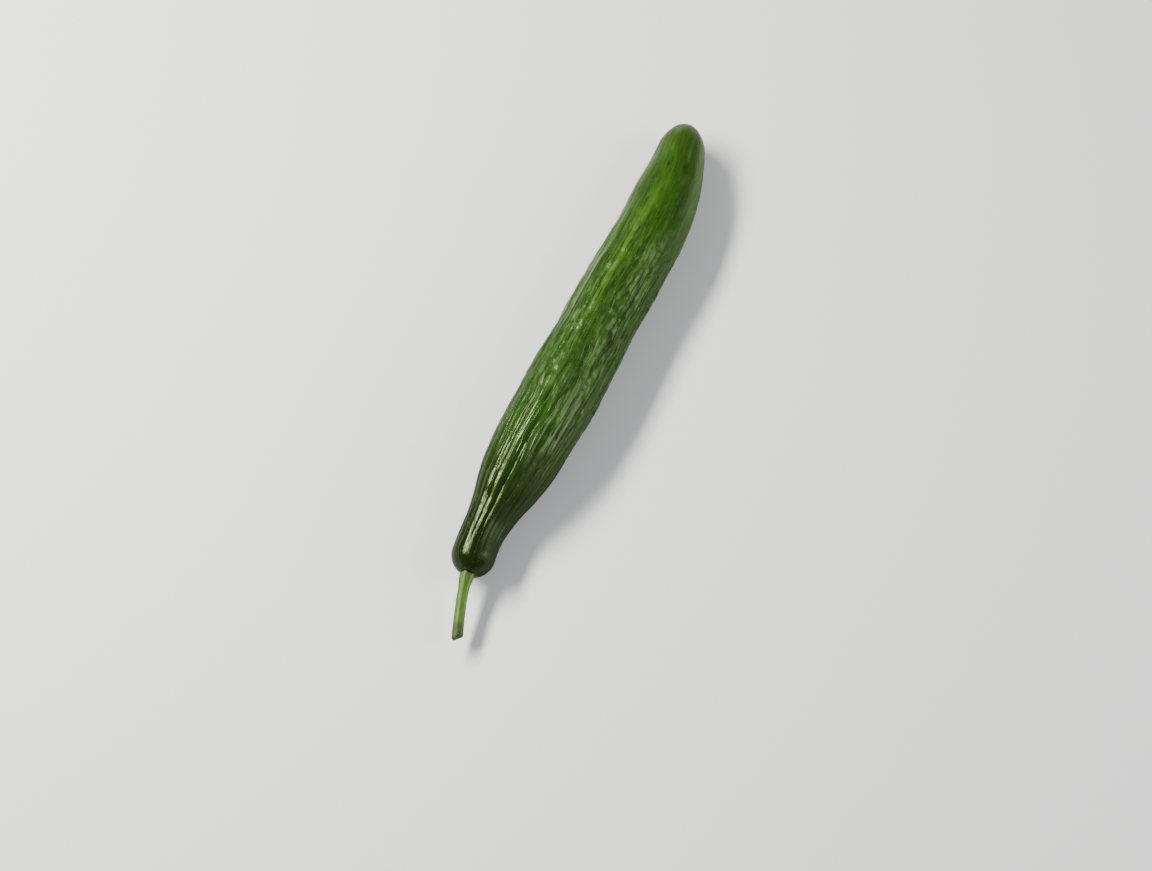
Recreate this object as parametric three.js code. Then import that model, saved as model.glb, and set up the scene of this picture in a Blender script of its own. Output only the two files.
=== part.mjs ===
// A long greenhouse cucumber, as picked and laid down: the fruit, with its narrow neck, its ribs and its
// gentle bend, and the short cut stem that it hung from. Millimetres, +Z up. The fruit runs along X with its
// stem at the low end, and rests on the table plane z = 0 on a small flat worn into its belly.
import * as THREE from "three";

// Driving dimensions of the fruit.
const FRUIT_LENGTH = 306; // from the stem's socket to the blossom end, along X
// Radius of the fruit at distances along it. The rounded ends are taken off it by the caps below.
const RADIUS_AT = [
  [0, 12.1],
  [20, 11.9],
  [30, 12.4],
  [42, 14.3],
  [55, 17.5],
  [68, 19.7],
  [84, 21.0],
  [115, 21.8],
  [165, 20.8],
  [215, 20.5],
  [243, 19.6],
  [258, 18.5],
  [283, 15.0],
  [306, 11.5],
];
// Sideways bend of the fruit's axis at distances along it: a slight S.
const BEND_AT = [
  [0, 2.0],
  [25, 4.6],
  [60, 2.3],
  [120, -2.3],
  [180, -5.4],
  [235, -9.0],
  [262, -7.8],
  [290, -4.0],
  [306, 0],
];
const STEM_CAP_LENGTH = 13;
const BLOSSOM_CAP_LENGTH = 18;
const REST_FLAT_DEPTH = 0.35; // how much the belly is flattened where it rests
const NECK_LIFT = 4.2; // how far the underside of the neck stands clear of the table
const NECK_LIFT_ENDS = [15, 75]; // the distances along the fruit between which that lift runs out
const TIP_LIFT = 3.6; // how far the underside of the blossom end stands clear
const TIP_LIFT_STARTS = 240;

// Relief on the skin. A wave is [height, times round the fruit, length along the fruit, start].
const LOBES = 3; // one for each seed chamber
const LOBE_SHARE = 0.014; // height of the lobes as a share of the radius
const LOBE_TURN = 0.6;
const RIBS = 18;
const RIB_DEPTH = 0.55; // from crest to groove, where the ribs are deepest
// Share of that depth along the fruit: none round the stem, full on the shoulder, faint at the tip.
const RIB_STRENGTH_AT = [
  [0, 0],
  [9, 0.12],
  [24, 0.6],
  [70, 1.0],
  [120, 0.8],
  [240, 0.4],
  [306, 0.25],
];
const RIB_ROOTS = [0.2, 0.95]; // on the end caps the ribs rise between these shares of the radius
// The ribs wander round the fruit, by these angles in radians.
const RIB_WANDER = [
  [0.07, 2, 565, 1.3],
  [0.05, 3, -440, -0.7],
];
// Low lumps that make the outline uneven.
const LUMPS = [
  [0.14, 2, 61, 0.4],
  [0.12, -3, 43, 2.1],
  [0.1, 5, -37, 4.0],
];
const SOCKET_RADIUS = 5.2; // the hollow round the stem's root
const SOCKET_DEPTH = 1.1;
const SCAR_RADIUS = 4.2; // the hollow of the blossom scar
const SCAR_DEPTH = 0.7;

// Driving dimensions of the stem.
const STEM_REACH = 33.5; // how far the cut end lies from the socket, along X
const STEM_SWING = 9; // how far the cut end swings to the side
const STEM_DROOP = 5; // how far the cut end hangs below the root
const STEM_BOW = 1.3; // over 1, the stem leaves the fruit straight and bends later
const STEM_RADIUS = 2.95;
const ROOT_RADIUS = 3.9;
const ROOT_FLARE = 0.25; // share of the stem over which the root widens
const CUT_RADIUS = 3.15; // the cut end is a little swollen
const CUT_SWELLING = 0.22; // share of the stem that is swollen
const STEM_ANGLES = 5; // ridges along the stem
const STEM_ANGLE_SHARE = 0.07;
const STEM_GAP = 0.9; // between the middle of the socket and the stem's root

// Fineness of the meshes.
const FRUIT_SIDES = 108;
const FRUIT_RINGS = 52;
const STEM_CAP_RINGS = 7;
const BLOSSOM_CAP_RINGS = 7;
const STEM_SIDES = 20;
const STEM_RINGS = 18;

const { smoothstep, lerp, clamp } = THREE.MathUtils;

// A smooth curve through stations [place, value] that never overshoots them.
function smoothThrough(stations) {
  const slopes = stations.slice(1).map(([at, value], i) => {
    const [before, low] = stations[i];
    return (value - low) / (at - before);
  });
  const tangents = stations.map((_, i) => {
    const left = slopes[Math.max(0, i - 1)];
    const right = slopes[Math.min(slopes.length - 1, i)];
    return left * right <= 0 ? 0 : (2 * left * right) / (left + right);
  });
  return (place) => {
    const last = stations.length - 2;
    const found = stations.findIndex(([at]) => at > place) - 1;
    const i = found < 0 ? (place <= stations[0][0] ? 0 : last) : found;
    const [x0, y0] = stations[i];
    const [x1, y1] = stations[i + 1];
    const width = x1 - x0;
    const t = clamp((place - x0) / width, 0, 1);
    const keep = (1 + 2 * t) * (1 - t) ** 2;
    const leave = t * (1 - t) ** 2 * width;
    const arrive = t * t * (t - 1) * width;
    return keep * y0 + leave * tangents[i] + (1 - keep) * y1 + arrive * tangents[i + 1];
  };
}

// Closes rings of points, anticlockwise as seen from the far end, into one body with a pole at each end.
function bodyFromRings(rings, startPole, endPole) {
  const sides = rings[0].length;
  const points = [startPole, ...rings.flat(), endPole];
  const endIndex = points.length - 1;
  const faces = [];
  for (let k = 0; k < sides; k++) {
    const next = (k + 1) % sides;
    faces.push(0, 1 + next, 1 + k);
    for (let ring = 0; ring < rings.length - 1; ring++) {
      const a = 1 + ring * sides;
      const b = a + sides;
      faces.push(a + k, a + next, b + k, a + next, b + next, b + k);
    }
    const lastRing = 1 + (rings.length - 1) * sides;
    faces.push(endIndex, lastRing + k, lastRing + next);
  }
  const geometry = new THREE.BufferGeometry().setFromPoints(points);
  geometry.setIndex(faces);
  geometry.computeVertexNormals();
  return geometry;
}

// The upright frame of a path at a place on it: its point, its way forward, its left and its top.
function frameOf(path, at, step) {
  const point = path(at);
  const forward = path(at + step).sub(path(at - step)).normalize();
  const left = new THREE.Vector3(0, 0, 1).cross(forward).normalize();
  const top = forward.clone().cross(left);
  return { point, forward, left, top };
}

// The point of a frame's cross-section at an angle from its left, anticlockwise.
function pointRound(frame, angle, radius, inward = 0) {
  return frame.point
    .clone()
    .addScaledVector(frame.left, radius * Math.cos(angle))
    .addScaledVector(frame.top, radius * Math.sin(angle))
    .addScaledVector(frame.forward, inward);
}

const radiusAt = smoothThrough(RADIUS_AT);
const bendAt = smoothThrough(BEND_AT);
const ribStrengthAt = smoothThrough(RIB_STRENGTH_AT);

// Axis of the fruit: as high above the table as its own radius, and a little more at the two ends.
function fruitAxis(along) {
  const neckLift = NECK_LIFT * (1 - smoothstep(along, ...NECK_LIFT_ENDS));
  const tipLift = TIP_LIFT * smoothstep(along, TIP_LIFT_STARTS, FRUIT_LENGTH);
  const height = radiusAt(along) - REST_FLAT_DEPTH + neckLift + tipLift;
  return new THREE.Vector3(along, bendAt(along), height);
}

// How much of the radius is left in the rounded end caps.
function capShare(along) {
  const fromStem = clamp(along / STEM_CAP_LENGTH, 0, 1);
  const fromBlossom = clamp((FRUIT_LENGTH - along) / BLOSSOM_CAP_LENGTH, 0, 1);
  const round = (share) => Math.sqrt(1 - (1 - share) ** 2);
  return round(fromStem) * round(fromBlossom);
}

// Distance along the fruit of each ring: even along the body, and even round the curve of each cap.
function ringPlace(ring) {
  const quarter = Math.PI / 2;
  const fromEnd = FRUIT_RINGS - ring;
  if (ring < STEM_CAP_RINGS) {
    return STEM_CAP_LENGTH * (1 - Math.cos((quarter * ring) / STEM_CAP_RINGS));
  }
  if (fromEnd < BLOSSOM_CAP_RINGS) {
    return FRUIT_LENGTH - BLOSSOM_CAP_LENGTH * (1 - Math.cos((quarter * fromEnd) / BLOSSOM_CAP_RINGS));
  }
  const share = (ring - STEM_CAP_RINGS) / (FRUIT_RINGS - STEM_CAP_RINGS - BLOSSOM_CAP_RINGS);
  return lerp(STEM_CAP_LENGTH, FRUIT_LENGTH - BLOSSOM_CAP_LENGTH, share);
}

function sumOfWaves(waves, angle, along) {
  return waves.reduce(
    (sum, [height, round, length, start]) =>
      sum + height * Math.sin(round * angle + (2 * Math.PI * along) / length + start),
    0,
  );
}

// Height of the skin over the plain round fruit: three weak lobes, low lumps, and ribs that wander a little.
function relief(angle, along) {
  const cap = capShare(along);
  const lobes = LOBE_SHARE * radiusAt(along) * Math.cos(LOBES * angle + LOBE_TURN);
  const lumps = sumOfWaves(LUMPS, angle, along);
  const strength = ribStrengthAt(along) * smoothstep(cap, ...RIB_ROOTS);
  const wandered = angle + sumOfWaves(RIB_WANDER, angle, along);
  const ribs = 0.5 * RIB_DEPTH * strength * Math.cos(RIBS * wandered);
  return (lobes + lumps) * cap + ribs;
}

// A hollow of the given depth that fades out at its rim.
function hollow(distance, rim, depth) {
  return distance < rim ? depth * (1 - (distance / rim) ** 2) ** 2 : 0;
}

function fruitGeometry() {
  const rings = [];
  for (let ring = 1; ring < FRUIT_RINGS; ring++) {
    const along = ringPlace(ring);
    const frame = frameOf(fruitAxis, along, 0.5);
    const plain = radiusAt(along) * capShare(along);
    const nearStem = along < FRUIT_LENGTH / 2;
    const points = [];
    for (let side = 0; side < FRUIT_SIDES; side++) {
      const angle = (2 * Math.PI * side) / FRUIT_SIDES;
      const radius = plain + relief(angle, along);
      const inward = nearStem
        ? hollow(radius, SOCKET_RADIUS, SOCKET_DEPTH)
        : -hollow(radius, SCAR_RADIUS, SCAR_DEPTH);
      const point = pointRound(frame, angle, radius, inward);
      point.z = Math.max(point.z, 0);
      points.push(point);
    }
    rings.push(points);
  }
  const stemPole = pointRound(frameOf(fruitAxis, 0, 0.5), 0, 0, SOCKET_DEPTH);
  const blossomPole = pointRound(frameOf(fruitAxis, FRUIT_LENGTH, 0.5), 0, 0, -SCAR_DEPTH);
  return bodyFromRings(rings, stemPole, blossomPole);
}

// Axis of the stem, from the cut end at 0 to its root in the socket at 1.
function stemAxis(share) {
  const root = pointRound(frameOf(fruitAxis, 0, 0.5), 0, 0, SOCKET_DEPTH - STEM_GAP);
  const out = 1 - share;
  const bow = Math.max(0, out) ** STEM_BOW;
  return root.add(new THREE.Vector3(-STEM_REACH * out, -STEM_SWING * bow, -STEM_DROOP * bow));
}

function stemRadius(share) {
  const flare = (ROOT_RADIUS - STEM_RADIUS) * smoothstep(share, 1 - ROOT_FLARE, 1);
  const swelling = (CUT_RADIUS - STEM_RADIUS) * (1 - smoothstep(share, 0, CUT_SWELLING));
  return STEM_RADIUS + flare + swelling;
}

function stemGeometry() {
  const rings = [];
  for (let ring = 0; ring <= STEM_RINGS; ring++) {
    const share = ring / STEM_RINGS;
    const frame = frameOf(stemAxis, share, 0.01);
    const points = [];
    for (let side = 0; side < STEM_SIDES; side++) {
      const angle = (2 * Math.PI * side) / STEM_SIDES;
      const angled = 1 + STEM_ANGLE_SHARE * Math.cos(STEM_ANGLES * angle);
      points.push(pointRound(frame, angle, stemRadius(share) * angled));
    }
    rings.push(points);
  }
  return bodyFromRings(rings, stemAxis(0), stemAxis(1));
}

function namedMesh(name, geometry, material) {
  const mesh = new THREE.Mesh(geometry, material);
  mesh.name = name;
  return mesh;
}

const skin = new THREE.MeshStandardMaterial({ color: 0x3b6b1c, roughness: 0.38, metalness: 0 });
const stalk = new THREE.MeshStandardMaterial({ color: 0x8fb356, roughness: 0.6, metalness: 0 });

const cucumber = new THREE.Group();
cucumber.add(namedMesh("fruit", fruitGeometry(), skin));
cucumber.add(namedMesh("stem", stemGeometry(), stalk));

// The origin is on the table, under the middle of the cucumber's box.
const box = new THREE.Box3().setFromObject(cucumber);
const middle = box.getCenter(new THREE.Vector3());
cucumber.position.set(-middle.x, -middle.y, -box.min.z);

export default cucumber;
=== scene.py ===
# A long greenhouse cucumber on a pale table: the waxed green fruit with its ribs and blisters, and the cut
# stem with its fine hairs. The creases, the mottle and the marks of the skin are in its material, with
# painted sheen, painted reflections and painted shade in the grooves. Metres, in the frame of the CAD model,
# with the fruit along X.
import math

import bpy
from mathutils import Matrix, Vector


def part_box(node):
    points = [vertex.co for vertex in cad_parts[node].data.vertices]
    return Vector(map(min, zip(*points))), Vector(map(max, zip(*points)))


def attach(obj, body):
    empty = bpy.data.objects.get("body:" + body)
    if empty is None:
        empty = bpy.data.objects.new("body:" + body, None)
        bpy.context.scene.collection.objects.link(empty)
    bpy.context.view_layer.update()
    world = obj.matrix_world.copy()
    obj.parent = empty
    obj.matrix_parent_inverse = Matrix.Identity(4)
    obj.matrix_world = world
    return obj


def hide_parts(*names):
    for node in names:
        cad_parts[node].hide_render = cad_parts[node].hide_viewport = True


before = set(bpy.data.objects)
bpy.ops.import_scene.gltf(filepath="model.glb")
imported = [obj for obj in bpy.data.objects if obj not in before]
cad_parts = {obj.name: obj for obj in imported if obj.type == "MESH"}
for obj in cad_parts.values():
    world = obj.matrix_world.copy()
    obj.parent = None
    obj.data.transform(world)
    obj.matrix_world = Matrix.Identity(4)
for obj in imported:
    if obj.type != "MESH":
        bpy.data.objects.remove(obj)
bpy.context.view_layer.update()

MM = 0.001
TURN = 2 * math.pi

# The photograph's view: a long lens that looks steeply down, from the stem's side.
CAMERA_AZIMUTH = math.radians(-66.9)
CAMERA_ELEVATION = math.radians(65)
CAMERA_DISTANCE = 1.509
CAMERA_AIM = Vector((-0.0299, -0.0128, 0))  # the point of the table in the middle of the picture
LENS_MM = 85

# Driving dimensions of the fruit, as in the CAD model: distances along it, and the radius or bend there.
FRUIT_LENGTH = 306 * MM
RADIUS_AT_MM = [
    (0, 12.1), (20, 11.9), (30, 12.4), (42, 14.3), (55, 17.5), (68, 19.7), (84, 21.0),
    (115, 21.8), (165, 20.8), (215, 20.5), (243, 19.6), (258, 18.5), (283, 15.0), (306, 11.5),
]
BEND_AT_MM = [
    (0, 2.0), (25, 4.6), (60, 2.3), (120, -2.3), (180, -5.4),
    (235, -9.0), (262, -7.8), (290, -4.0), (306, 0),
]
STEM_CAP_LENGTH = 13 * MM
BLOSSOM_CAP_LENGTH = 18 * MM
REST_FLAT_DEPTH = 0.35 * MM
NECK_LIFT = 4.2 * MM
NECK_LIFT_ENDS = (15 * MM, 75 * MM)
TIP_LIFT = 3.6 * MM
TIP_LIFT_STARTS = 240 * MM

# Relief that the CAD model has too. A wave is (height, times round, length along, start).
LOBES = 3
LOBE_SHARE = 0.014
LOBE_TURN = 0.6
RIBS = 18
RIB_DEPTH = 0.55 * MM
RIB_STRENGTH_AT_MM = [(0, 0), (9, 0.12), (24, 0.6), (70, 1.0), (120, 0.8), (240, 0.4), (306, 0.25)]
RIB_ROOTS = (0.2, 0.95)
RIB_WANDER = [(0.07, 2, 565 * MM, 1.3), (0.05, 3, -440 * MM, -0.7)]
LUMPS = [
    (0.14 * MM, 2, 61 * MM, 0.4),
    (0.12 * MM, -3, 43 * MM, 2.1),
    (0.10 * MM, 5, -37 * MM, 4.0),
]
SOCKET_RADIUS = 5.2 * MM
SOCKET_DEPTH = 1.1 * MM
SCAR_RADIUS = 4.2 * MM
SCAR_DEPTH = 0.7 * MM

# Driving dimensions of the stem, as in the CAD model.
STEM_REACH = 33.5 * MM
STEM_SWING = 9 * MM
STEM_DROOP = 5 * MM
STEM_BOW = 1.3
STEM_RADIUS = 2.95 * MM
ROOT_RADIUS = 3.9 * MM
ROOT_FLARE = 0.25
CUT_RADIUS = 3.15 * MM
CUT_SWELLING = 0.22
STEM_ANGLES = 5
STEM_ANGLE_SHARE = 0.07
STEM_GAP = 0.9 * MM
STEM_SUNK = 1.6 * MM  # how far the root runs on into the fruit, so that no gap shows


# Node trees

CELL_SMOOTHNESS = 0.3


class Wire:
    """A node's output. Arithmetic on it adds Math nodes to its tree, or Vector Math nodes on a vector."""

    def __init__(self, net, socket):
        self.net = net
        self.socket = socket

    def output(self, name):
        return Wire(self.net, self.socket.node.outputs[name])

    def maths(self, operation, *values):
        vector = any(isinstance(v, Wire) and v.socket.type in ("VECTOR", "RGBA") for v in values)
        kind = "ShaderNodeVectorMath" if vector else "ShaderNodeMath"
        if vector:
            values = [v if isinstance(v, (Wire, tuple)) else (v, v, v) for v in values]
        return self.net.node(kind, {"operation": operation}, dict(enumerate(values)))

    def __add__(self, other):
        return self.maths("ADD", self, other)

    def __sub__(self, other):
        return self.maths("SUBTRACT", self, other)

    def __rsub__(self, other):
        return self.maths("SUBTRACT", other, self)

    def __mul__(self, other):
        return self.maths("MULTIPLY", self, other)

    def __truediv__(self, other):
        return self.maths("DIVIDE", self, other)

    __radd__ = __add__
    __rmul__ = __mul__

    def sin(self):
        return self.maths("SINE", self)

    def cos(self):
        return self.maths("COSINE", self)

    def abs(self):
        return self.maths("ABSOLUTE", self)

    def sqrt(self):
        return self.maths("SQRT", self)

    def atan2(self, other):
        return self.maths("ARCTAN2", self, other)

    def least(self, other):
        return self.maths("MINIMUM", self, other)

    def most(self, other):
        return self.maths("MAXIMUM", self, other)

    def below(self, limit):
        return self.maths("LESS_THAN", self, limit)

    def cross(self, other):
        return self.maths("CROSS_PRODUCT", self, other)

    def unit(self):
        return self.maths("NORMALIZE", self)

    def length(self):
        return self.maths("LENGTH", self)

    def part(self, axis):
        return self.net.node("ShaderNodeSeparateXYZ", {}, {0: self}).output(axis)

    def rise(self, low, high, start=0.0, end=1.0, kind="SMOOTHSTEP"):
        """From start to end as this goes from low to high, and level outside."""
        sockets = {"Value": self, "From Min": low, "From Max": high, "To Min": start, "To Max": end}
        return self.net.node("ShaderNodeMapRange", {"interpolation_type": kind}, sockets)

    def band(self, coming, going):
        """The product of two rises, such as one that comes and one that goes again."""
        return self.rise(*coming) * self.rise(*going)


class Net:
    """A node tree being written."""

    def __init__(self, tree):
        self.tree = tree

    def node(self, kind, settings=None, sockets=None):
        """Adds a node: its settings first, then the value or link of each socket, by name or number."""
        made = self.tree.nodes.new(kind)
        for name, value in (settings or {}).items():
            if name == "stops":
                write_stops(made.color_ramp, value)
            else:
                setattr(made, name, value)
        for name, value in (sockets or {}).items():
            if isinstance(value, Wire):
                self.tree.links.new(value.socket, made.inputs[name])
            else:
                made.inputs[name].default_value = value
        shown = [socket for socket in made.outputs if socket.enabled]
        return Wire(self, shown[0]) if shown else made

    def vector(self, x, y, z):
        return self.node("ShaderNodeCombineXYZ", {}, {0: x, 1: y, 2: z})

    def noise(self, place, scale, detail, roughness=0.5):
        sockets = {"Vector": place, "Scale": scale, "Detail": detail, "Roughness": roughness}
        return self.node("ShaderNodeTexNoise", {"noise_dimensions": "3D"}, sockets)

    def pattern(self, place, squeeze, scale, detail, roughness=0.5, shift=None):
        """Noise that is drawn out along a straightened body, and shifted if two patterns must not match."""
        drawn_out = place * (1, 1, squeeze)
        if shift:
            drawn_out = drawn_out + shift
        return self.noise(drawn_out, scale, detail, roughness)

    def cells(self, place, scale):
        """Distance to the nearest of many scattered points."""
        return self.node("ShaderNodeTexVoronoi", {}, {"Vector": place, "Scale": scale})

    def soft_cells(self, place, scale):
        """The same distance, without sharp edges between the cells."""
        sockets = {"Vector": place, "Scale": scale, "Smoothness": CELL_SMOOTHNESS}
        return self.node("ShaderNodeTexVoronoi", {"feature": "SMOOTH_F1"}, sockets)

    def mix(self, first, second, share):
        return self.node("ShaderNodeMix", {"data_type": "RGBA"}, {0: share, 6: first, 7: second})

    def ramp(self, value, stops):
        return self.node("ShaderNodeValToRGB", {"stops": stops}, {0: value})


def write_stops(ramp, stops):
    """Sets a colour ramp's stops, given as (place, colour) with the colour linear."""
    while len(ramp.elements) < len(stops):
        ramp.elements.new(1.0)
    for element, (place, colour) in zip(ramp.elements, stops):
        element.position = place
        element.color = (*colour, 1.0)


def geometry_net(name, inputs):
    """A new Geometry Nodes tree with named inputs, and the wires of those inputs by name."""
    tree = bpy.data.node_groups.new(name, "GeometryNodeTree")
    tree.interface.new_socket("Geometry", in_out="INPUT", socket_type="NodeSocketGeometry")
    for label, (kind, _) in inputs.items():
        tree.interface.new_socket(label, in_out="INPUT", socket_type=kind)
    tree.interface.new_socket("Geometry", in_out="OUTPUT", socket_type="NodeSocketGeometry")
    net = Net(tree)
    start = tree.nodes.new("NodeGroupInput")
    return net, {socket.name: Wire(net, socket) for socket in start.outputs if socket.name}


def end_net(net, geometry, material):
    """Ends a geometry tree as plain smooth faces of one material."""
    real = net.node("GeometryNodeRealizeInstances", {}, {"Geometry": geometry})
    smooth = net.node("GeometryNodeSetShadeSmooth", {}, {"Geometry": real})
    painted = net.node("GeometryNodeSetMaterial", {}, {"Geometry": smooth, "Material": material})
    net.node("NodeGroupOutput", {}, {0: painted})


def grown(name, source, net, inputs):
    """A new object of that name, with the plain mesh that a geometry tree makes of a source object."""
    modifier = source.modifiers.new("Grow", "NODES")
    modifier.node_group = net.tree
    for item in net.tree.interface.items_tree:
        if item.in_out == "INPUT" and item.name in inputs:
            modifier[item.identifier] = inputs[item.name][1]
    bpy.context.scene.collection.objects.link(source)
    depsgraph = bpy.context.evaluated_depsgraph_get()
    evaluated = source.evaluated_get(depsgraph)
    mesh = bpy.data.meshes.new_from_object(evaluated, preserve_all_data_layers=True, depsgraph=depsgraph)
    source.modifiers.remove(modifier)
    bpy.data.objects.remove(source)
    mesh.name = name
    made = bpy.data.objects.new(name, mesh)
    bpy.context.scene.collection.objects.link(made)
    return made


# Shape of the fruit's axis

def smooth_through(stations):
    """A smooth curve through stations (place, value) that never overshoots them."""
    pairs = list(zip(stations, stations[1:]))
    slopes = [(high - low) / (at - before) for (before, low), (at, high) in pairs]
    tangents = []
    for i in range(len(stations)):
        left = slopes[max(0, i - 1)]
        right = slopes[min(len(slopes) - 1, i)]
        tangents.append(0 if left * right <= 0 else 2 * left * right / (left + right))

    def value_at(place):
        i = sum(1 for at, _ in stations[1:-1] if at <= place)
        (x0, y0), (x1, y1) = stations[i], stations[i + 1]
        width = x1 - x0
        t = min(1, max(0, (place - x0) / width))
        keep = (1 + 2 * t) * (1 - t) ** 2
        leave = t * (1 - t) ** 2 * width
        arrive = t * t * (t - 1) * width
        return keep * y0 + leave * tangents[i] + (1 - keep) * y1 + arrive * tangents[i + 1]

    return value_at


def in_metres(stations_mm):
    return [(at * MM, value * MM) for at, value in stations_mm]


def smoothstep(value, low, high):
    t = min(1, max(0, (value - low) / (high - low)))
    return t * t * (3 - 2 * t)


radius_at = smooth_through(in_metres(RADIUS_AT_MM))
bend_at = smooth_through(in_metres(BEND_AT_MM))


def fruit_axis(along):
    """Axis of the fruit: as high as its own radius, and a little more at the two ends."""
    neck_lift = NECK_LIFT * (1 - smoothstep(along, *NECK_LIFT_ENDS))
    tip_lift = TIP_LIFT * smoothstep(along, TIP_LIFT_STARTS, FRUIT_LENGTH)
    height = radius_at(along) - REST_FLAT_DEPTH + neck_lift + tip_lift
    return Vector((along, bend_at(along), height))


def stem_axis(share):
    """Axis of the stem, from the cut end at 0 to its root in the socket at 1."""
    step = 0.5 * MM
    forward = (fruit_axis(step) - fruit_axis(-step)).normalized()
    root = fruit_axis(0) + forward * (SOCKET_DEPTH - STEM_GAP)
    out = 1 - share
    bow = max(0, out) ** STEM_BOW
    return root + Vector((-STEM_REACH * out, -STEM_SWING * bow, -STEM_DROOP * bow))


def stem_radius(share):
    flare = (ROOT_RADIUS - STEM_RADIUS) * smoothstep(share, 1 - ROOT_FLARE, 1)
    swelling = (CUT_RADIUS - STEM_RADIUS) * (1 - smoothstep(share, 0, CUT_SWELLING))
    return STEM_RADIUS + flare + swelling


def axis_curve(points, radii):
    """An object whose curve runs through the points, with a radius at each."""
    curve = bpy.data.curves.new("Axis", "CURVE")
    curve.dimensions = "3D"
    spline = curve.splines.new("POLY")
    spline.points.add(len(points) - 1)
    for place, point, radius in zip(spline.points, points, radii):
        place.co = (*point, 1)
        place.radius = radius
    return bpy.data.objects.new("Axis", curve)


def sum_of_waves(waves, angle, along):
    total = 0.0
    for height, turns, length, start in waves:
        total = (angle * turns + along * (TURN / length) + start).sin() * height + total
    return total


def swept(net, axis, share, angle):
    """Fields of a body swept along an axis, at a share of it: the point of the axis, its radius there, the
    direction outwards at an angle round it, and the direction forward."""
    radius = net.node("GeometryNodeInputRadius")
    sockets = {"Curves": axis, "Value": radius, "Factor": share}
    sample = net.node("GeometryNodeSampleCurve", {"mode": "FACTOR", "data_type": "FLOAT"}, sockets)
    forward = sample.output("Tangent")
    left = net.vector(0.0, 0.0, 1.0).cross(forward).unit()
    top = forward.cross(left)
    outward = left * angle.cos() + top * angle.sin()
    return sample.output("Position"), sample, outward, forward


# The fruit's skin

SKIN_SIDES = 270
SKIN_RINGS = 365
STEM_CAP_SHARE = 0.075  # share of the rings on each rounded end
BLOSSOM_CAP_SHARE = 0.085
STRAIGHT_RADIUS = 20 * MM  # radius of the straightened fruit on which the patterns lie
AXIS_STEP = 1 * MM

# A pattern is noise on the straightened fruit: its squeeze along the fruit, its scale per metre, detail,
# roughness and shift. A rise gives two places or levels, and the strengths before and after them where these
# aren't 0 and 1. A band is two rises.

# The ribs' finer form: each has a round crest and a narrow groove that wanders and breaks off.
CREST_SHARE = 0.75  # how much of a rib's depth is its crest
CREST_MIDDLE = 0.64
GROOVE_SHARE = 0.35  # how much is its groove
GROOVE_WIDTH = 0.75
GROOVE_PATTERN = (0.3, 95.0, 1.0, 0.5, (0.3, 0.1, 0.7))
GROOVE_HELD = (0.38, 0.56)
SHOULDER = (60 * MM, 120 * MM)
MEANDER = 0.25
MEANDER_PATTERN = (0.35, 110.0, 1.0)
MEANDER_ALONG = (50 * MM, 130 * MM)

# Blisters, too fine for the CAD model.
BLISTER_HEIGHT = 0.45 * MM
BLISTERS_PER_METRE = 260.0
BLISTER_SQUEEZE = 0.55
BLISTER_STEEPNESS = 1.5
BLISTER_WARP = 3.5 * MM
BLISTER_WARPS_PER_METRE = 180.0
BLISTERS_ALONG = ((70 * MM, 125 * MM, 0.1, 1.0), (190 * MM, 260 * MM, 1.0, 0.2))
BLISTERS_IN_CAPS = (0.4, 0.95)


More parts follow.
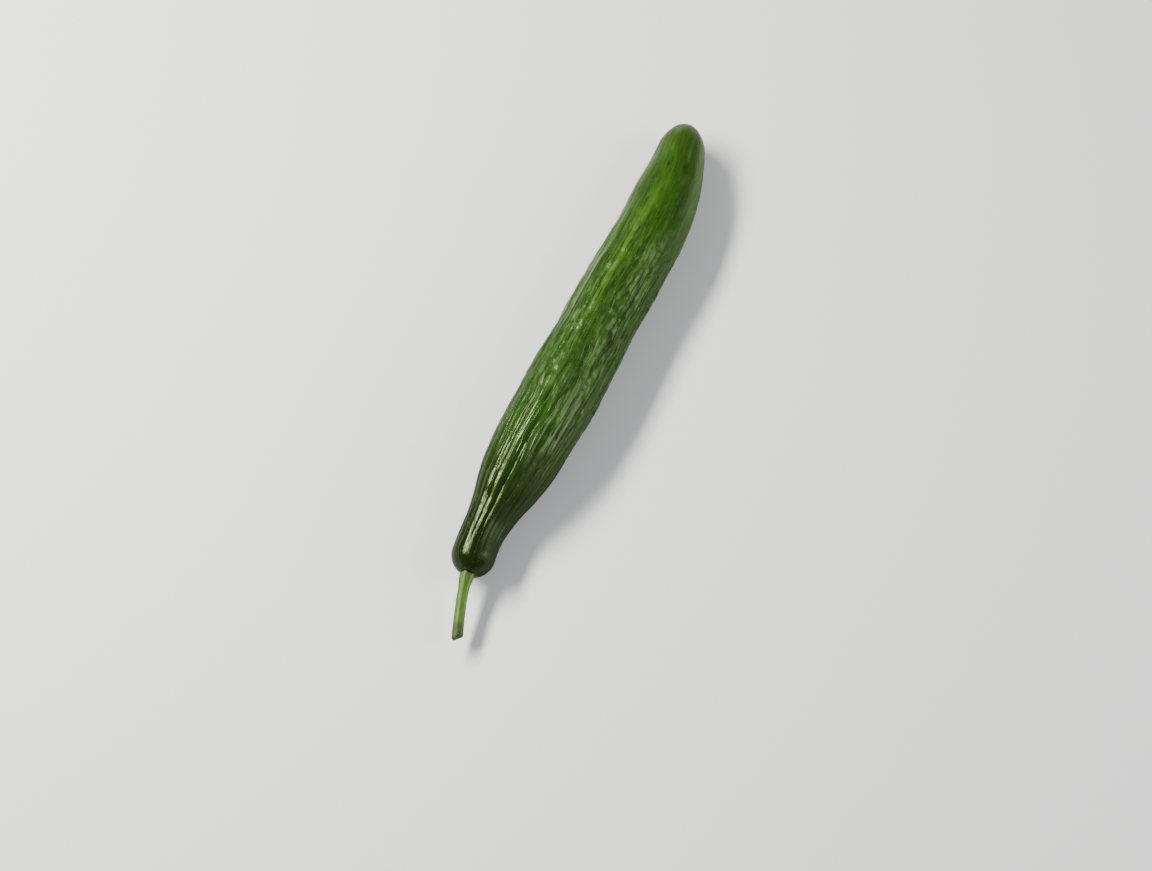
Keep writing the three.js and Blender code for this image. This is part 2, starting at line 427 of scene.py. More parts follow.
def skin_net(inputs):
    """Grows the skin round the fruit's axis: the CAD model's lobes, lumps and ribs, and fine blisters."""
    net, given = geometry_net("Cucumber skin", inputs)
    tube = net.node(
        "GeometryNodeMeshCylinder", {"fill_type": "TRIANGLE_FAN"},
        {"Vertices": given["Sides"], "Side Segments": given["Rings"], "Radius": 1.0, "Depth": 1.0},
    )
    place = net.node("GeometryNodeInputPosition")
    x, y = place.part("X"), place.part("Y")
    angle = y.atan2(x)
    on_ring = (x * x + y * y).sqrt()  # 1 on the rings and 0 at the two poles

    # Rings are even along the body, and even round the curve of each cap.
    ring = (place.part("Z") + 0.5) * (on_ring * (-2 / SKIN_RINGS) + 1) + on_ring * (1 / SKIN_RINGS)
    quarter = TURN / 4
    stem_turn = 1 - (ring.rise(0, STEM_CAP_SHARE, 0, quarter, "LINEAR")).cos()
    body = ring.rise(STEM_CAP_SHARE, 1 - BLOSSOM_CAP_SHARE, kind="LINEAR")
    blossom_turn = ring.rise(1 - BLOSSOM_CAP_SHARE, 1, 0, quarter, "LINEAR").sin()
    body_length = FRUIT_LENGTH - STEM_CAP_LENGTH - BLOSSOM_CAP_LENGTH
    wanted = stem_turn * STEM_CAP_LENGTH + body * body_length + blossom_turn * BLOSSOM_CAP_LENGTH

    axis_point, plain_radius, outward, forward = swept(net, given["Geometry"], wanted / FRUIT_LENGTH, angle)
    along = axis_point.part("X")

    # How much of the radius is left in the rounded caps.
    from_stem = 1 - (along / STEM_CAP_LENGTH).least(1.0).most(0.0)
    from_blossom = 1 - ((FRUIT_LENGTH - along) / BLOSSOM_CAP_LENGTH).least(1.0).most(0.0)
    cap = (1 - from_stem * from_stem).sqrt() * (1 - from_blossom * from_blossom).sqrt() * on_ring

    # The straightened fruit, on which every pattern lies.
    straight = net.vector(angle.cos() * STRAIGHT_RADIUS, angle.sin() * STRAIGHT_RADIUS, along)
    straight_cap = net.vector(angle.cos() * cap * STRAIGHT_RADIUS, angle.sin() * cap * STRAIGHT_RADIUS, along)

    lobes = (angle * LOBES + LOBE_TURN).cos() * plain_radius * LOBE_SHARE
    lumps = sum_of_waves(LUMPS, angle, along)
    strength = strength_along(net, along) * cap.rise(*RIB_ROOTS)
    meander = (net.pattern(straight, *MEANDER_PATTERN) - 0.5) * given["Meander"]
    wandered = angle + sum_of_waves(RIB_WANDER, angle, along) + meander * along.rise(*MEANDER_ALONG)

    # A groove is unbroken up to the shoulder, and comes and goes past it.
    crest = (wandered * (RIBS / 2)).cos().abs()
    groove = 1 - crest.rise(0.0, GROOVE_WIDTH)
    broken = net.pattern(straight, *GROOVE_PATTERN).rise(*GROOVE_HELD)
    past_shoulder = along.rise(*SHOULDER)
    held = broken * past_shoulder + (1 - past_shoulder)
    profile = (crest - CREST_MIDDLE) * CREST_SHARE - groove * held * GROOVE_SHARE
    ribs = profile * strength * given["Rib depth"]

    warp = net.noise(straight, BLISTER_WARPS_PER_METRE, 1.0).output("Color") - 0.5
    bent = straight + warp * BLISTER_WARP
    dome = 1 - net.soft_cells(bent * (1, 1, BLISTER_SQUEEZE), BLISTERS_PER_METRE) * BLISTER_STEEPNESS
    blisters = dome * along.band(*BLISTERS_ALONG) * given["Blister height"] * cap.rise(*BLISTERS_IN_CAPS)

    height = (lobes + lumps) * cap + ribs + blisters
    radius = plain_radius * cap + height

    near_stem = along.below(FRUIT_LENGTH / 2)
    socket = hollow(radius, SOCKET_RADIUS) * near_stem * SOCKET_DEPTH
    scar = hollow(radius, SCAR_RADIUS) * (1 - near_stem) * SCAR_DEPTH
    skin = axis_point + outward * radius + forward * (socket - scar)
    rested = net.vector(skin.part("X"), skin.part("Y"), skin.part("Z").most(0.0))

    marked = stored(net, tube, "straight", straight_cap, "FLOAT_VECTOR")
    marked = stored(net, marked, "groove", groove * held * strength, "FLOAT")
    shaped = net.node("GeometryNodeSetPosition", {}, {"Geometry": marked, "Position": rested})
    end_net(net, shaped, given["Skin"])
    return net


def stored(net, geometry, name, value, kind):
    """The geometry with a value stored on its points, for its material to read."""
    return net.node(
        "GeometryNodeStoreNamedAttribute", {"data_type": kind, "domain": "POINT"},
        {"Geometry": geometry, "Name": name, "Value": value},
    )


def strength_along(net, along):
    """The ribs' strength along the fruit, joined from its stations by smooth steps."""
    total = RIB_STRENGTH_AT_MM[0][1]
    for (before, low), (at, high) in zip(RIB_STRENGTH_AT_MM, RIB_STRENGTH_AT_MM[1:]):
        total = along.rise(before * MM, at * MM, 0.0, high - low) + total
    return total


def hollow(distance, rim):
    """1 in the middle of a hollow, fading to 0 at its rim."""
    inside = (1 - (distance / rim) * (distance / rim)).most(0.0)
    return inside * inside


# Materials

SKIN_COLOURS = [  # along the fruit, from the neck to the blossom end
    (0.00, (0.004, 0.008, 0.001)),
    (0.12, (0.004, 0.010, 0.001)),
    (0.20, (0.008, 0.022, 0.002)),
    (0.30, (0.011, 0.036, 0.003)),
    (0.42, (0.015, 0.045, 0.004)),
    (0.60, (0.015, 0.045, 0.003)),
    (0.80, (0.014, 0.043, 0.003)),
    (1.00, (0.022, 0.050, 0.005)),
]

# Places along the fruit are shares of its length, and metres for the creases. Places across it go from 1 on
# its left to -1 on its right.

# Two stripes along the back: the colour, the place across, the soft edge and the strength.
STRIPES = [
    ((0.043, 0.100, 0.008, 1), 0.17, (0.03, 0.19), 0.8),
    ((0.011, 0.029, 0.002, 1), 0.50, (0.05, 0.22), 0.6),
]
STRIPES_ALONG = ((0.42, 0.62), (0.75, 0.9, 1.0, 0.1))
STRIPES_ON_TOP = (0.0, 0.5)
STRIPE_RAGGEDNESS = 0.5
STRIPE_PATTERN = (0.3, 120.0, 3.0, 0.6)

# Long streaks, blotches, mottle and fine lines, fainter on the blossom end.
PLAIN_TIP = (0.66, 0.84, 1.0, 0.5)
STREAK_COLOUR = (0.055, 0.11, 0.014, 1)
STREAK_PATTERN = (0.04, 420.0, 3.0)
STREAK_LEVEL = (0.5, 0.72)
STREAKS_ALONG = (0.3, 0.8, 0.10, 0.32)
BLOTCH_PATTERN = (0.22, 130.0, 4.0, 0.65, (0.7, 0.3, 0.2))
PALE_BLOTCH_COLOUR = (0.048, 0.115, 0.008, 1)
PALE_BLOTCH_LEVEL = (0.5, 0.75, 0.0, 0.6)
PALE_BLOTCHES_ALONG = (0.2, 0.45)
DARK_BLOTCH_COLOUR = (0.008, 0.024, 0.001, 1)
DARK_BLOTCH_LEVEL = (0.48, 0.25, 0.0, 0.4)
MOTTLE_PATTERN = (0.25, 420.0, 4.0, 0.65)
MOTTLE_PALE = (0.5, 0.72, 0.0, 0.55)
MOTTLE_DARK = (0.28, 0.5, 0.45, 0.0)
LINE_PATTERN = (0.05, 850.0, 2.0)
LINE_LEVEL = (0.3, 0.7, -0.35, 0.35)
MOTTLE_ALONG = (0.12, 0.45, 0.3, 1.1)

# Painted sheen: soft milky patches in two bands, and a milky edge on the right of the blossom end, painted
# where the lamps' sheen and the table's reflection fall.
PAINTED_SHEEN_COLOUR = (0.085, 0.155, 0.042, 1)
SHEEN_CLOUD_PATTERN = (0.40, 310.0, 3.0, 0.55, (0.2, 0.6, 0.3))
SHEEN_CLOUD_LEVEL = (0.44, 0.66)
SHEEN_CLOUDS_ALONG = (0.38, 0.48, 0.5, 0.72)
LEFT_BAND_ACROSS = ((0.05, 0.25), (0.5, 0.75, 1.0, 0.0))
LEFT_BAND_ALONG = ((0.33, 0.40), (0.50, 0.62, 1.0, 0.15))
RIGHT_BAND_ACROSS = ((-0.40, -0.10, 0.9, 0.0), (-0.98, -0.80))
RIGHT_BAND_ALONG = ((0.2, 0.3), (0.6, 0.75, 1.0, 0.2))
TIP_SHEEN_ACROSS = (-0.88, -0.62, 0.45, 0.0)
TIP_SHEEN_ALONG = (0.70, 0.92)
TIP_SHEEN_MOTTLE = (0.3, 0.6, 0.4, 1.0)

# Painted reflection: fine pale lines along the left flank.
FLANK_REFLECTION_COLOUR = (0.150, 0.230, 0.100, 1)
FLANK_REFLECTION_PATTERN = (0.03, 750.0, 1.0)
FLANK_REFLECTION_LEVEL = (0.50, 0.60, 0.0, 0.5)
FLANK_REFLECTION_ACROSS = (0.55, 0.72)
FLANK_REFLECTION_ALONG = ((0.44, 0.54), (0.60, 0.71, 1.0, 0.15))

# Painted shade in the grooves and creases, darkest on the right side. Creases are short wavy grooves between
# the ribs.
GROOVE_SHADE_COLOUR = (0.003, 0.010, 0.0006, 1)
GROOVE_SHADE_ALONG = (0.60, 0.80, 1.0, 0.4)
GROOVE_SHADE_ACROSS = (-0.3, 0.1, 0.9, 0.5)
CREASES = 44
CREASE_WIDTH = 0.48
CREASE_DEPTH = 0.38 * MM
CREASE_SWAY = 0.32
CREASE_SWAY_PATTERN = (0.45, 95.0, 1.0, 0.5, (0.5, 0.2, 0.0))
CREASE_PATTERN = (0.09, 200.0, 1.0, 0.5, (0.1, 0.9, 0.4))
CREASE_LEVEL = (0.33, 0.48)
CREASES_ALONG = ((50 * MM, 100 * MM, 0.1, 1.0), (185 * MM, 235 * MM, 1.0, 0.1))

# Tiny pale flecks, here and there.
FLECK_COLOUR = (0.13, 0.22, 0.04, 1)
FLECKS_PER_METRE = 520.0
FLECK_SQUEEZE = 0.7
FLECK_SIZE = (0.06, 0.16, 1.0, 0.0)
FLECKED_AREAS_PER_METRE = 90.0
FLECKED_LEVEL = (0.48, 0.62, 0.0, 0.45)

# A dark scar near the blossom end, and a smudge beside it: the place on the straightened fruit, its stretch,
# the size and the strength.
MARK_COLOUR = (0.005, 0.010, 0.003, 1)
MARK_WARPS_PER_METRE = 320.0
MARK_CORE = 0.2
SKIN_MARKS = [
    ((3.5 * MM, 19.7 * MM, 267 * MM), (1, 1, 0.7), 1.5 * MM, 0.9),
    ((2.0 * MM, 19.9 * MM, 271 * MM), (1, 1, 0.4), 1.1 * MM, 0.5),
    ((-8.0 * MM, 18.3 * MM, 268 * MM), (1, 1, 0.45), 2.8 * MM, 0.55),
]

# Fine relief, as bump.
GRAIN_HEIGHT_MM = 0.05
GRAIN_PATTERN = (0.7, 900.0, 2.0)
RIPPLE_HEIGHT_MM = 0.14
RIPPLE_PATTERN = (0.30, 380.0, 1.0)
LINE_HEIGHT_MM = 0.13
PIMPLES_PER_METRE = 560.0
PIMPLE_SQUEEZE = 0.6
PIMPLE_HEIGHT_MM = 0.07
LEFT_PIMPLE_HEIGHT_MM = 0.16  # added in the left band
BUMP_STRENGTH = 0.8

# Roughness along the fruit, what its bloom and its dull right side add, and what glossier places take off.
BODY_ROUGHNESS = (0.25, 0.37, 0.13, 0.26)
BLOOM_PATTERN = (0.4, 240.0, 2.0)
BLOOM_LEVEL = (0.3, 0.7, 0.0, 0.1)
BLOOM_ALONG = (0.2, 0.35, 0.4, 1.0)
DULL_SIDE_ACROSS = (-0.40, 0.0, 0.22, 0.0)
DULL_SIDE_ALONG = (0.15, 0.3, 1.0, 0.0)
RIGHT_EDGE_ACROSS = (-0.96, -0.80, 0.22, 0.0)
RIGHT_EDGE_ALONG = ((0.25, 0.37), (0.76, 0.86, 1.0, 0.0))
LEFT_EDGE_ACROSS = (0.70, 0.92, 0.0, 0.12)
LEFT_EDGE_ALONG = (0.60, 0.70)
LEFT_BAND_GLOSS = 0.05

# A low specular level keeps the fruit's edges dark, where it is seen at a glancing angle. The tint above 1
# brings back the reflection on what faces the camera.
SKIN_GLOSS = {"IOR": 1.45, "Specular IOR Level": 0.03, "Specular Tint": (8.9, 11.8, 5.8, 1)}
SKIN_GLOW = {"Subsurface Weight": 0.04, "Subsurface Radius": (0.3, 1.0, 0.1), "Subsurface Scale": 2 * MM}

STALK_COLOURS = [  # from the cut end to the root
    (0.00, (0.020, 0.034, 0.006)),
    (0.05, (0.034, 0.054, 0.011)),
    (0.20, (0.036, 0.060, 0.011)),
    (0.25, (0.052, 0.105, 0.010)),
    (0.70, (0.056, 0.115, 0.010)),
    (0.93, (0.040, 0.088, 0.008)),
    (1.00, (0.012, 0.026, 0.003)),
]

# The stalk's patterns lie on a straight stalk with a radius and a length of 1.
ANGLE_BEND = 0.5
ANGLE_BEND_PATTERN = (3.0, 2.0, 1.0)
ANGLE_COLOUR = (0.19, 0.29, 0.085, 1)
ANGLE_LEVEL = (0.1, 0.9)
ANGLES_ALONG = (0.15, 0.3, 0.1, 0.42)
FIBRE_PATTERN = (0.5, 11.0, 3.0, 0.6)
FIBRE_LEVEL = (0.32, 0.68, 0.65, 1.4)
FIBRE_HEIGHT_MM = 0.16
FURROW_COLOUR = (0.014, 0.026, 0.004, 1)
FURROW_PATTERN = (0.6, 7.0, 2.0, 0.5, (3.0, 1.0, 2.0))
FURROW_LEVEL = (0.54, 0.64)
FURROWS_ALONG = (0.02, 0.26, 0.75, 0.1)
FURROW_DEPTH_MM = 0.12
STALK_FLECK_COLOUR = (0.28, 0.38, 0.16, 1)
STALK_FLECK_SQUEEZE = 5.0
STALK_FLECKS = 9.0
STALK_FLECK_SIZE = (0.10, 0.22, 0.45, 0.0)
STALK_GLOSS = {"Roughness": 0.5, "Specular IOR Level": 0.2}
STALK_GLOW = {"Subsurface Weight": 0.1, "Subsurface Radius": (0.5, 1.0, 0.2), "Subsurface Scale": 1.5 * MM}

HAIR_FINISH = {"Base Color": (0.42, 0.50, 0.28, 1), "Roughness": 0.6, "Specular IOR Level": 0.2}
TABLE_FINISH = {"Base Color": (0.76, 0.76, 0.76, 1), "Roughness": 0.9}


def new_material(name):
    made = bpy.data.materials.new(name)
    made.use_nodes = True
    made.node_tree.nodes.clear()
    return made, Net(made.node_tree)


def attribute(net, name, output="Fac"):
    return net.node("ShaderNodeAttribute", {"attribute_name": name}).output(output)


def finish_material(net, sockets):
    shader = net.node("ShaderNodeBsdfPrincipled", {}, sockets)
    net.node("ShaderNodeOutputMaterial", {}, {"Surface": shader})


def bump(net, height):
    return net.node("ShaderNodeBump", {}, {"Strength": BUMP_STRENGTH, "Distance": 1.0, "Height": height})


def creases(net, straight, angle):
    """Creases that break off and start again: 1 along the middle of each, and 0 beside it."""
    along = straight.part("Z")
    sway = (net.pattern(straight, *CREASE_SWAY_PATTERN) - 0.5) * CREASE_SWAY
    line = 1 - ((angle + sway) * (CREASES / 2)).sin().abs().rise(0.0, CREASE_WIDTH)
    patch = net.pattern(straight, *CREASE_PATTERN).rise(*CREASE_LEVEL)
    return line * patch * along.band(*CREASES_ALONG)


def skin_material():
    made, net = new_material("Waxed cucumber skin")
    straight = attribute(net, "straight", "Vector")
    groove = attribute(net, "groove")
    share = straight.part("Z") / FRUIT_LENGTH
    across = straight.part("X") / STRAIGHT_RADIUS
    up = straight.part("Y") / STRAIGHT_RADIUS
    crease = creases(net, straight, up.atan2(across))
    base = net.ramp(share, SKIN_COLOURS)

    striped = share.band(*STRIPES_ALONG) * up.rise(*STRIPES_ON_TOP)
    ragged = (net.pattern(straight, *STRIPE_PATTERN) - 0.5) * STRIPE_RAGGEDNESS
    for colour, middle, edge, strength in STRIPES:
        stripe = 1 - (across + ragged - middle).abs().rise(*edge)
        base = net.mix(base, colour, stripe * striped * strength)

    plain_tip = share.rise(*PLAIN_TIP)
    streak = net.pattern(straight, *STREAK_PATTERN).rise(*STREAK_LEVEL)
    base = net.mix(base, STREAK_COLOUR, streak * share.rise(*STREAKS_ALONG) * plain_tip)
    blotch = net.pattern(straight, *BLOTCH_PATTERN)
    pale_blotch = blotch.rise(*PALE_BLOTCH_LEVEL) * share.rise(*PALE_BLOTCHES_ALONG) * plain_tip
    base = net.mix(base, PALE_BLOTCH_COLOUR, pale_blotch)
    base = net.mix(base, DARK_BLOTCH_COLOUR, blotch.rise(*DARK_BLOTCH_LEVEL) * plain_tip)
    mottle = net.pattern(straight, *MOTTLE_PATTERN)
    mottling = mottle.rise(*MOTTLE_PALE) - mottle.rise(*MOTTLE_DARK)
    line = net.pattern(straight, *LINE_PATTERN)
    brighter = (mottling + line.rise(*LINE_LEVEL)) * share.rise(*MOTTLE_ALONG) * plain_tip
    base = base * (brighter + 1)

    # Painted sheen and painted reflection, as milky patches on both flanks and on the right of the blossom
    # end.
    sheen_cloud = net.pattern(straight, *SHEEN_CLOUD_PATTERN).rise(*SHEEN_CLOUD_LEVEL)
    left_band = across.band(*LEFT_BAND_ACROSS) * share.band(*LEFT_BAND_ALONG)
    right_band = across.band(*RIGHT_BAND_ACROSS) * share.band(*RIGHT_BAND_ALONG)
    painted_sheen = sheen_cloud * (left_band + right_band).least(1.0) * share.rise(*SHEEN_CLOUDS_ALONG)
    tip_sheen = across.rise(*TIP_SHEEN_ACROSS) * share.rise(*TIP_SHEEN_ALONG) * mottle.rise(*TIP_SHEEN_MOTTLE)
    base = net.mix(base, PAINTED_SHEEN_COLOUR, (painted_sheen + tip_sheen).least(1.0))

    # Painted reflection: fine pale lines along the left flank.
    flank_reflection = net.pattern(straight, *FLANK_REFLECTION_PATTERN).rise(*FLANK_REFLECTION_LEVEL)
    left_flank_reflection = across.rise(*FLANK_REFLECTION_ACROSS) * share.band(*FLANK_REFLECTION_ALONG)
    base = net.mix(base, FLANK_REFLECTION_COLOUR, flank_reflection * left_flank_reflection)

    # Painted shade in the grooves and creases, darkest on the right side.
    groove_shade = (groove * share.rise(*GROOVE_SHADE_ALONG) + crease).least(1.0)
    base = net.mix(base, GROOVE_SHADE_COLOUR, groove_shade * across.rise(*GROOVE_SHADE_ACROSS))

    fleck = net.cells(straight * (1, 1, FLECK_SQUEEZE), FLECKS_PER_METRE).rise(*FLECK_SIZE)
    flecked = net.noise(straight, FLECKED_AREAS_PER_METRE, 0.0).rise(*FLECKED_LEVEL)
    base = net.mix(base, FLECK_COLOUR, fleck * flecked)

    warp = net.noise(straight, MARK_WARPS_PER_METRE, 2.0).output("Color") - 0.5
    for centre, stretch, size, strength in SKIN_MARKS:
        away = ((straight - centre) * stretch + warp * size).length()
        base = net.mix(base, MARK_COLOUR, away.rise(size * MARK_CORE, size, strength, 0.0))

    grain = net.pattern(straight, *GRAIN_PATTERN) * GRAIN_HEIGHT_MM
    ripple = net.pattern(straight, *RIPPLE_PATTERN) * RIPPLE_HEIGHT_MM
    pimple = net.soft_cells(straight * (1, 1, PIMPLE_SQUEEZE), PIMPLES_PER_METRE)
    pimple_height = left_band * LEFT_PIMPLE_HEIGHT_MM + PIMPLE_HEIGHT_MM
    relief = grain + ripple + line * LINE_HEIGHT_MM - pimple * pimple_height

    bloom = net.pattern(straight, *BLOOM_PATTERN).rise(*BLOOM_LEVEL) * share.rise(*BLOOM_ALONG)
    dull_side = across.rise(*DULL_SIDE_ACROSS) * share.rise(*DULL_SIDE_ALONG)
    right_edge = across.rise(*RIGHT_EDGE_ACROSS) * share.band(*RIGHT_EDGE_ALONG)
    left_edge = across.rise(*LEFT_EDGE_ACROSS) * share.rise(*LEFT_EDGE_ALONG)
    glossier = right_edge + left_edge + left_band * LEFT_BAND_GLOSS
    roughness = share.rise(*BODY_ROUGHNESS) + bloom + dull_side - glossier
    finish_material(net, {
        "Base Color": base, "Roughness": roughness,
        "Normal": bump(net, relief * MM - crease * CREASE_DEPTH),
        **SKIN_GLOSS, **SKIN_GLOW,
    })
    return made


def stalk_material():
    made, net = new_material("Green stalk")
    place = attribute(net, "straight", "Vector")
    share = place.part("Z")
    angle = place.part("Y").atan2(place.part("X"))
    base = net.ramp(share, STALK_COLOURS)

    # Paler along the five angles, with fine fibres and a few dark furrows all along.
    bent = angle + (net.pattern(place, *ANGLE_BEND_PATTERN) - 0.5) * ANGLE_BEND
    ridge = (bent * STEM_ANGLES).cos().rise(*ANGLE_LEVEL)
    base = net.mix(base, ANGLE_COLOUR, ridge * share.rise(*ANGLES_ALONG))
    fibre = net.pattern(place, *FIBRE_PATTERN)
    base = base * fibre.rise(*FIBRE_LEVEL)
    furrow = net.pattern(place, *FURROW_PATTERN).rise(*FURROW_LEVEL)
    base = net.mix(base, FURROW_COLOUR, furrow * share.rise(*FURROWS_ALONG))
    fleck = net.cells(place * (1, 1, STALK_FLECK_SQUEEZE), STALK_FLECKS).rise(*STALK_FLECK_SIZE)
    base = net.mix(base, STALK_FLECK_COLOUR, fleck)
    relief = fibre * FIBRE_HEIGHT_MM - furrow * FURROW_DEPTH_MM
    finish_material(net, {"Base Color": base, "Normal": bump(net, relief * MM), **STALK_GLOSS, **STALK_GLOW})
    return made


def plain_material(name, sockets):
    made, net = new_material(name)
    finish_material(net, sockets)
    return made


# The stem

STEM_SIDES = 80
STEM_RINGS = 160
STEM_END_RINGS = 8
STEM_STEPS = 60
FIBRE_DEPTH = 0.25 * MM

# The patterns of the stem's form lie on a straight stalk with a radius of 1 and a length of 4.
UNROLLED_LENGTH = 4
FIBRE_FORM = (0.15, 7.0, 2.0)
RAGGED_FORM = (0.0, 3.0, 2.0)

# The cut end: how far along the stem its edge is rounded and slanted, and how much.
CUT_ROUND = 0.05
CUT_PINCH = 0.32
CUT_SLANT_REACH = 0.16
CUT_SLANT = 1.0 * MM
CUT_RAGGED = 0.9 * MM

HAIRS_PER_SQUARE_METRE = 0.8e6
HAIR_LENGTH = 0.75 * MM
HAIR_RADIUS = 0.035 * MM
HAIR_ROOT = 0.15 * MM  # how deep a hair starts below the skin
HAIR_SIDES = 3
HAIR_SIZES = (0.55, 1.15)
HAIR_LEAN = 0.6
HAIR_PLACE_SEED = 11
HAIR_SIZE_SEED = 3
HAIR_LEAN_SEED = 5


def stem_net(inputs):
    """Grows the stem round its axis, with its five angles, its lengthwise fibres and its ragged cut end."""
    net, given = geometry_net("Cucumber stem", inputs)
    tube = net.node(
        "GeometryNodeMeshCylinder", {"fill_type": "TRIANGLE_FAN"},
        {"Vertices": given["Sides"], "Side Segments": given["Rings"], "Fill Segments": STEM_END_RINGS,
         "Radius": 1.0, "Depth": 1.0},
    )
    place = net.node("GeometryNodeInputPosition")
    x, y = place.part("X"), place.part("Y")
    angle = y.atan2(x)
    rim = (x * x + y * y).sqrt()
    share = place.part("Z") + 0.5
    axis_point, plain_radius, outward, forward = swept(net, given["Geometry"], share, angle)
    angled = (angle * STEM_ANGLES).cos() * STEM_ANGLE_SHARE + 1
    unrolled = net.vector(angle.cos(), angle.sin(), share * UNROLLED_LENGTH)
    fibres = (net.pattern(unrolled, *FIBRE_FORM) - 0.5) * given["Fibre depth"]
    near_cut = (1 - share / CUT_ROUND).most(0.0)
    edge = 1 - near_cut * near_cut * near_cut * CUT_PINCH
    slant = angle.cos() * rim * (1 - share / CUT_SLANT_REACH).most(0.0) * CUT_SLANT
    ragged = (net.pattern(unrolled, *RAGGED_FORM) - 0.5) * near_cut * rim * CUT_RAGGED
    radius = rim * edge * (plain_radius * angled + fibres)
    point = axis_point + outward * radius - forward * (slant + ragged)
    marked = stored(net, tube, "straight", net.vector(x, y, share), "FLOAT_VECTOR")
    shaped = net.node("GeometryNodeSetPosition", {}, {"Geometry": marked, "Position": point})
    end_net(net, shaped, given["Stalk"])
    return net


def hairs_net(inputs):
    """Short stiff hairs all over a mesh, each leaning its own way."""
    net, given = geometry_net("Stem hairs", inputs)
    spread = net.node(
        "GeometryNodeDistributePointsOnFaces", {"distribute_method": "RANDOM"},
        {"Mesh": given["Geometry"], "Density": HAIRS_PER_SQUARE_METRE, "Seed": given["Seed"]},
    )
    roots = net.node(
        "GeometryNodeSetPosition", {},
        {"Geometry": spread, "Offset": spread.output("Normal") * -HAIR_ROOT},
    )
    hair = net.node(
        "GeometryNodeMeshCone", {"fill_type": "TRIANGLE_FAN"},
        {"Vertices": HAIR_SIDES, "Side Segments": 1, "Fill Segments": 1,
         "Radius Top": 0.0, "Radius Bottom": HAIR_RADIUS, "Depth": given["Length"]},
    )
    size = net.node(
        "FunctionNodeRandomValue", {"data_type": "FLOAT"},
        {2: HAIR_SIZES[0], 3: HAIR_SIZES[1], "Seed": HAIR_SIZE_SEED},
    )
    hairs = net.node(
        "GeometryNodeInstanceOnPoints", {},
        {"Points": roots, "Instance": hair, "Rotation": spread.output("Rotation"), "Scale": size},
    )
    lean = net.node(
        "FunctionNodeRandomValue", {"data_type": "FLOAT_VECTOR"},
        {0: (-HAIR_LEAN, -HAIR_LEAN, 0.0), 1: (HAIR_LEAN, HAIR_LEAN, TURN),
         "Seed": HAIR_LEAN_SEED},
    )
    leaning = net.node("GeometryNodeRotateInstances", {}, {"Instances": hairs, "Rotation": lean})
    end_net(net, leaning, given["Hair"])
    return net


# Building

def make_fruit():
    steps = round(FRUIT_LENGTH / AXIS_STEP)
    places = [FRUIT_LENGTH * i / steps for i in range(steps + 1)]
    axis = axis_curve([fruit_axis(s) for s in places], [radius_at(s) for s in places])
    inputs = {
        "Sides": ("NodeSocketInt", SKIN_SIDES),
        "Rings": ("NodeSocketInt", SKIN_RINGS),
        "Rib depth": ("NodeSocketFloat", RIB_DEPTH),
        "Meander": ("NodeSocketFloat", MEANDER),
        "Blister height": ("NodeSocketFloat", BLISTER_HEIGHT),
        "Skin": ("NodeSocketMaterial", skin_material()),
    }
    return grown("fruit_skin", axis, skin_net(inputs), inputs)


def make_stem():
    shares = [i / STEM_STEPS for i in range(STEM_STEPS + 1)]
    points = [stem_axis(s) for s in shares]
    radii = [stem_radius(s) for s in shares]
    points.append(points[-1] + (points[-1] - points[-2]).normalized() * STEM_SUNK)
    radii.append(radii[-1])
    inputs = {
        "Sides": ("NodeSocketInt", STEM_SIDES),
        "Rings": ("NodeSocketInt", STEM_RINGS),
        "Fibre depth": ("NodeSocketFloat", FIBRE_DEPTH),
        "Stalk": ("NodeSocketMaterial", stalk_material()),
    }
    return grown("stem_skin", axis_curve(points, radii), stem_net(inputs), inputs)


def make_hairs(stem):
    inputs = {
        "Seed": ("NodeSocketInt", HAIR_PLACE_SEED),
        "Length": ("NodeSocketFloat", HAIR_LENGTH),
        "Hair": ("NodeSocketMaterial", plain_material("Pale stem hairs", HAIR_FINISH)),
    }
    return grown("stem_hairs", bpy.data.objects.new("Bare stem", stem.data), hairs_net(inputs), inputs)


def fit_to_frame(pieces):
    """Moves the grown meshes from the fruit's own place to where the frame has the fruit."""
    low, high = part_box("fruit")
    corners = [v.co for v in pieces[0].data.vertices]
    centre = [(min(c[k] for c in corners) + max(c[k] for c in corners)) / 2 for k in range(2)]
    shift = Vector(((low.x + high.x) / 2 - centre[0], (low.y + high.y) / 2 - centre[1], 0))
    for piece in pieces:
        for vertex in piece.data.vertices:
            vertex.co += shift


# The table, the lights and the camera

TABLE_REACH = 4.0
WORLD_STRENGTH = 0.29

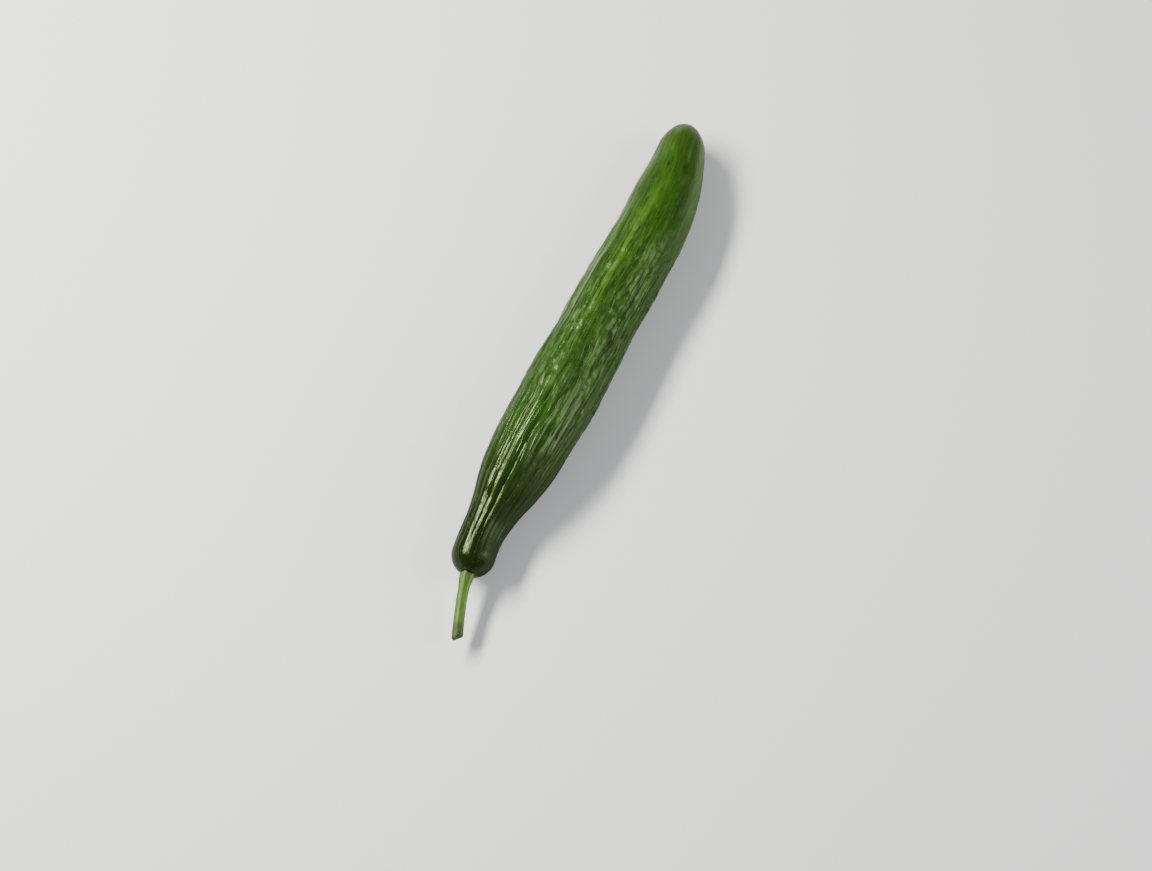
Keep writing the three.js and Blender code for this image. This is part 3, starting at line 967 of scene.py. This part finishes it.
# Rectangular lights that face the cucumber: direction, distance, width, height, watts and colour.
SOFTBOXES = {
    "key": ((-0.03, 0.655, 0.745), 1.2, 0.97, 0.22, 40, (1.0, 1.0, 0.94)),
    "fill": ((0.17, -0.83, 0.51), 1.8, 0.84, 1.3, 25, (0.97, 1.0, 1.05)),
}


def make_table():
    mesh = bpy.data.meshes.new("table")
    corners = [(TABLE_REACH * x, TABLE_REACH * y, 0) for x, y in ((-1, -1), (1, -1), (1, 1), (-1, 1))]
    mesh.from_pydata(corners, [], [(0, 1, 2, 3)])
    mesh.materials.append(plain_material("Pale table", TABLE_FINISH))
    table = bpy.data.objects.new("table", mesh)
    bpy.context.scene.collection.objects.link(table)


def make_softbox(name, direction, distance, width, height, watts, colour):
    light = bpy.data.lights.new(name, "AREA")
    light.shape = "RECTANGLE"
    light.size = width
    light.size_y = height
    light.energy = watts
    light.color = colour
    made = bpy.data.objects.new(name, light)
    bpy.context.scene.collection.objects.link(made)
    toward = Vector(direction).normalized()
    made.location = toward * distance
    made.rotation_euler = toward.to_track_quat("Z", "Y").to_euler()


def make_lights():
    world = bpy.data.worlds.new("Studio")
    world.use_nodes = True
    background = world.node_tree.nodes["Background"]
    background.inputs["Color"].default_value = (1, 1, 1, 1)
    background.inputs["Strength"].default_value = WORLD_STRENGTH
    bpy.context.scene.world = world
    for name, values in SOFTBOXES.items():
        make_softbox(name, *values)


def make_camera():
    camera = bpy.data.cameras.new("Camera")
    camera.lens = LENS_MM
    made = bpy.data.objects.new("Camera", camera)
    bpy.context.scene.collection.objects.link(made)
    level = math.cos(CAMERA_ELEVATION)
    back = Vector((
        math.sin(CAMERA_AZIMUTH) * level, -math.cos(CAMERA_AZIMUTH) * level, math.sin(CAMERA_ELEVATION)))
    made.location = CAMERA_AIM + back * CAMERA_DISTANCE
    made.rotation_euler = (-back).to_track_quat("-Z", "Y").to_euler()
    bpy.context.scene.camera = made


make_camera()
make_lights()
make_table()
fruit = make_fruit()
stem = make_stem()
hairs = make_hairs(stem)
fit_to_frame([fruit, stem, hairs])
for piece, node, slot in ((fruit, "fruit", "skin"), (stem, "stem", "stalk"), (hairs, "stem", "stalk")):
    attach(piece, "root")
    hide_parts(node)
